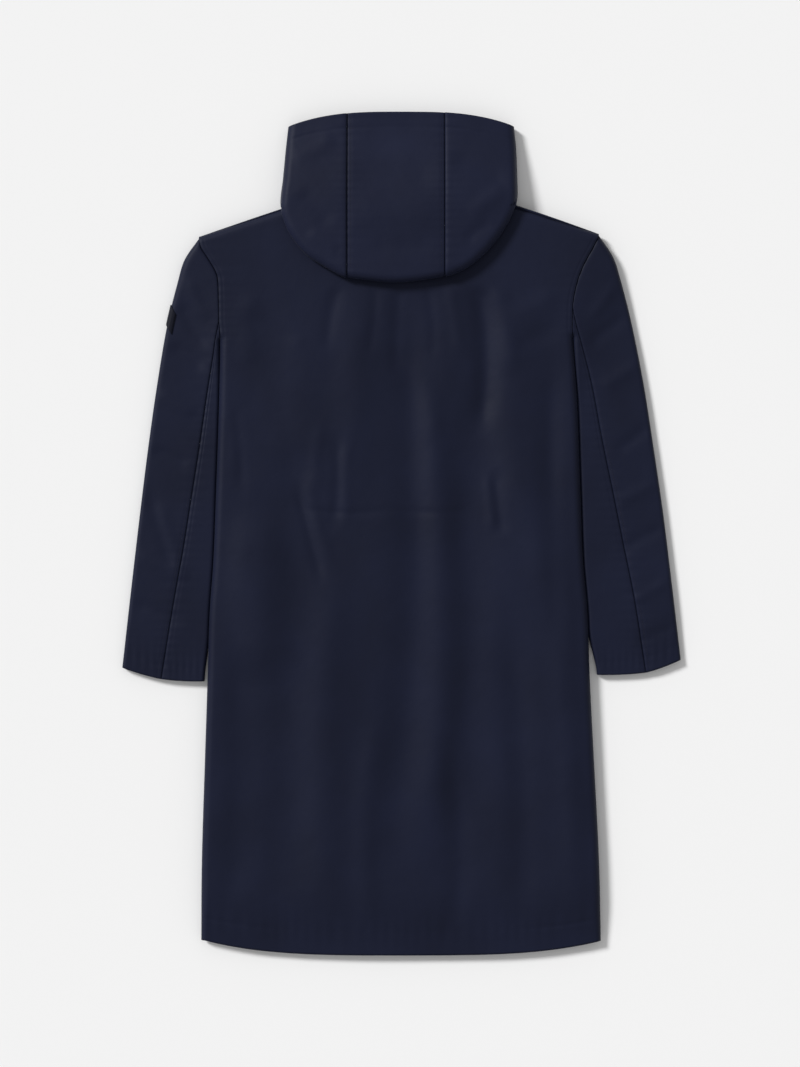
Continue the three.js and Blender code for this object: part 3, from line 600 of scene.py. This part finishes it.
# Stitches: short thread capsules along a route on a cloth's top face.
def stitch_row(name, routes):
    vertices, faces = [], []
    ring = 6
    angles = np.linspace(0, 2 * math.pi, ring, endpoint=False)
    for route in routes:
        steps = np.linalg.norm(np.diff(route, axis=0), axis=1)
        run = np.concatenate([[0], np.cumsum(steps)])
        for start in np.arange(STITCH_PITCH, run[-1] - STITCH_PITCH, STITCH_PITCH):
            ends = [np.array([np.interp(start + shift * STITCH_LENGTH, run, route[:, axis])
                              for axis in range(3)]) for shift in (0, 0.2, 0.8, 1)]
            direction = (ends[3] - ends[0]) / np.linalg.norm(ends[3] - ends[0])
            across = np.cross(direction, [0, 0, 1])
            across /= np.linalg.norm(across)
            up = np.cross(across, direction)
            base = len(vertices)
            for centre, size, lift in zip(ends, (0.35, 1, 1, 0.35), (-0.25, 0.15, 0.15, -0.25)):
                for angle in angles:
                    spoke = across * math.cos(angle) + up * math.sin(angle)
                    vertices.append(centre + up * lift * MM + spoke * size * STITCH_RADIUS)
            for band in range(3):
                for k in range(ring):
                    a, b = base + band * ring + k, base + band * ring + (k + 1) % ring
                    faces.append((a, b, b + ring, a + ring))
            faces.append(tuple(base + k for k in reversed(range(ring))))
            faces.append(tuple(base + 3 * ring + k for k in range(ring)))
    mesh = bpy.data.meshes.new(name)
    mesh.from_pydata([tuple(v) for v in vertices], [], faces)
    mesh.shade_smooth()
    piece = bpy.data.objects.new(name, mesh)
    bpy.context.scene.collection.objects.link(piece)
    return piece


def on_back(x, y):
    high = body_height(y)
    return rolled(x, y, COAT_FOLDS, np.zeros(np.shape(x), bool), True, 0, high, high / 2, back_lift(x, y))


def on_hood(x, y):
    return hood_surface(x, y, True, np.zeros(np.shape(x), bool))


def on_sleeve(side, x, y, along, seam_distance):
    high = sleeve_height(along)
    lift = sleeve_lift(side, x, y, along, seam_distance)
    return rolled(x, y, COAT_FOLDS, np.zeros(np.shape(x), bool), True, 0, high, high / 2, lift)


def back_stitches():
    x = np.linspace(-270 * MM, 268 * MM, 300)
    routes = [on_back(x, hem_y(x) + HEM_STITCH)]
    for side in SIDES.values():
        y = np.linspace(side["shoulder_y"] - 8 * MM, side["armpit_y"] + 14 * MM, 60)
        routes.append(on_back(side["sign"] * (side["edge_at"](y) - TOPSTITCH), y))
    return stitch_row("back_stitches", routes)


def hood_stitches():
    x = np.linspace(-150 * MM, 149 * MM, 160)
    routes = [on_hood(x, hood_top_y(x) - CUFF_STITCH)]
    for name, inward in (("left", 1), ("right", -1)):
        y = np.linspace(HOOD_TOP - 4 * MM, 366 * MM, 120)
        routes.append(on_hood(np.full(y.shape, HOOD_SEAMS[name] + inward * TOPSTITCH), y))
    return stitch_row("hood_stitches", routes)


def sleeve_stitches(name):
    side = SIDES[name]
    along = np.linspace(0.01, 0.995, 200)
    (edge_x, edge_y), (seam_x, seam_y) = outer_line(side, along), seam_line(side, along)
    width = np.hypot(edge_x - seam_x, edge_y - seam_y)
    part = 1 - TOPSTITCH / width
    x, y = sleeve_plan(side, "upper", along, part, part)
    routes = [on_sleeve(side, x, y, along, np.full(along.shape, TOPSTITCH))]
    cuff = np.full(60, 1 - CUFF_STITCH / SLEEVE_RUN)
    for piece in ("upper", "under"):
        line = (outer_line if piece == "upper" else inner_line)(side, cuff)
        seam = seam_line(side, cuff)
        width = np.hypot(line[0] - seam[0], line[1] - seam[1])
        part = np.linspace(0.09, 0.999, 60)
        x, y = sleeve_plan(side, piece, cuff, part, part)
        routes.append(on_sleeve(side, x, y, cuff, (1 - part) * width))
    return stitch_row(f"sleeve_{name}_stitches", routes)


# Materials
def cloth_material(name, colour, sheen=0.03, roughness=0.55, weave=1900.0):
    material = bpy.data.materials.new(name)
    material.use_nodes = True
    nodes, links = material.node_tree.nodes, material.node_tree.links
    shader = nodes["Principled BSDF"]
    shader.inputs["Roughness"].default_value = roughness
    shader.inputs["Specular IOR Level"].default_value = 0.12
    shader.inputs["Sheen Weight"].default_value = sheen
    shader.inputs["Sheen Roughness"].default_value = 0.45
    place = nodes.new("ShaderNodeTexCoord")
    broad = nodes.new("ShaderNodeTexNoise")
    broad.inputs["Scale"].default_value = 9.0
    broad.inputs["Detail"].default_value = 6.0
    ramp = nodes.new("ShaderNodeValToRGB")
    ramp.color_ramp.elements[0].position, ramp.color_ramp.elements[1].position = 0.3, 0.72
    ramp.color_ramp.elements[0].color = (*[channel * 0.86 for channel in colour], 1)
    ramp.color_ramp.elements[1].color = (*[channel * 1.14 for channel in colour], 1)
    links.new(place.outputs["Object"], broad.inputs["Vector"])
    links.new(broad.outputs["Fac"], ramp.inputs["Fac"])
    links.new(ramp.outputs["Color"], shader.inputs["Base Color"])
    waves = []
    for direction in ("X", "Y"):
        wave = nodes.new("ShaderNodeTexWave")
        wave.bands_direction = direction
        wave.inputs["Scale"].default_value = weave / 6.28
        wave.inputs["Distortion"].default_value = 0.6
        links.new(place.outputs["Object"], wave.inputs["Vector"])
        waves.append(wave)
    crossing = nodes.new("ShaderNodeMath")
    crossing.operation = "MULTIPLY"
    links.new(waves[0].outputs["Fac"], crossing.inputs[0])
    links.new(waves[1].outputs["Fac"], crossing.inputs[1])
    fine = nodes.new("ShaderNodeBump")
    fine.inputs["Strength"].default_value = 0.25
    fine.inputs["Distance"].default_value = 0.0002
    links.new(crossing.outputs[0], fine.inputs["Height"])
    crumple = nodes.new("ShaderNodeTexNoise")
    crumple.inputs["Scale"].default_value = 60.0
    crumple.inputs["Detail"].default_value = 8.0
    links.new(place.outputs["Object"], crumple.inputs["Vector"])
    soft = nodes.new("ShaderNodeBump")
    soft.inputs["Strength"].default_value = 0.35
    soft.inputs["Distance"].default_value = 0.0012
    links.new(crumple.outputs["Fac"], soft.inputs["Height"])
    links.new(fine.outputs["Normal"], soft.inputs["Normal"])
    links.new(soft.outputs["Normal"], shader.inputs["Normal"])
    return material


SHELL = cloth_material("shell_cloth", (0.0076, 0.0100, 0.0262))
HOOD_SHELL = cloth_material("hood_cloth", (0.0088, 0.0114, 0.0300))
TRIM = cloth_material("trim_cloth", (0.0045, 0.0052, 0.0120), roughness=0.5, weave=1200.0)
THREAD = cloth_material("thread", (0.0130, 0.0145, 0.0290), sheen=0.1, roughness=0.5, weave=5200.0)


def finish_piece(piece, material, node=None):
    piece.data.materials.append(material)
    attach(piece, "root")
    if node:
        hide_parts(node)


back = make_back()
finish_piece(back, SHELL, "back")
for name in SIDES:
    front = make_front(name)
    finish_piece(front, SHELL, f"front_{name}")
    for piece_name, width, area in (("upper", 0.205, 0.084), ("under", 0.14, 0.045)):
        sleeve = make_sleeve_piece(name, piece_name)
        finish_piece(sleeve, SHELL, f"sleeve_{name}_{piece_name}")
    hood_side = make_hood_side(name)
    finish_piece(hood_side, HOOD_SHELL, f"hood_side_{name}")
    thread = sleeve_stitches(name)
    finish_piece(thread, THREAD)
hood = make_hood_centre()
finish_piece(hood, HOOD_SHELL, "hood_centre")
placket = make_placket()
finish_piece(placket, TRIM, "front_placket")
patch = make_patch()
finish_piece(patch, TRIM, "sleeve_patch")
for thread in (back_stitches(), hood_stitches()):
    finish_piece(thread, THREAD)


# Floor, lights and camera
def make_floor():
    mesh = bpy.data.meshes.new("floor")
    corners = [(x * FLOOR_HALF, y * FLOOR_HALF, FLOOR_Z) for x, y in ((-1, -1), (1, -1), (1, 1), (-1, 1))]
    mesh.from_pydata(corners, [], [(0, 1, 2, 3)])
    floor = bpy.data.objects.new("floor", mesh)
    bpy.context.scene.collection.objects.link(floor)
    material = bpy.data.materials.new("pale_floor")
    material.use_nodes = True
    shader = material.node_tree.nodes["Principled BSDF"]
    shader.inputs["Base Color"].default_value = (FLOOR_WHITE, FLOOR_WHITE, FLOOR_WHITE, 1)
    shader.inputs["Roughness"].default_value = 0.9
    floor.data.materials.append(material)


def add_sun(name, direction, angle, strength):
    data = bpy.data.lights.new(name, "SUN")
    data.angle = math.radians(angle)
    data.energy = strength
    light = bpy.data.objects.new(name, data)
    light.rotation_euler = Vector(direction).to_track_quat("Z", "Y").to_euler()
    bpy.context.scene.collection.objects.link(light)


def add_camera():
    data = bpy.data.cameras.new("camera")
    data.lens = CAMERA_LENS
    data.sensor_width = CAMERA_SENSOR
    camera = bpy.data.objects.new("camera", data)
    camera.location = CAMERA_PLACE
    bpy.context.scene.collection.objects.link(camera)
    bpy.context.scene.camera = camera


make_floor()
add_sun("key", SUN_DIRECTION, SUN_ANGLE, SUN_STRENGTH)
world = bpy.data.worlds.new("studio")
world.use_nodes = True
world.node_tree.nodes["Background"].inputs["Color"].default_value = (1, 1, 1, 1)
world.node_tree.nodes["Background"].inputs["Strength"].default_value = WORLD_STRENGTH
bpy.context.scene.world = world
add_camera()
bpy.context.scene.view_settings.view_transform = "Standard"
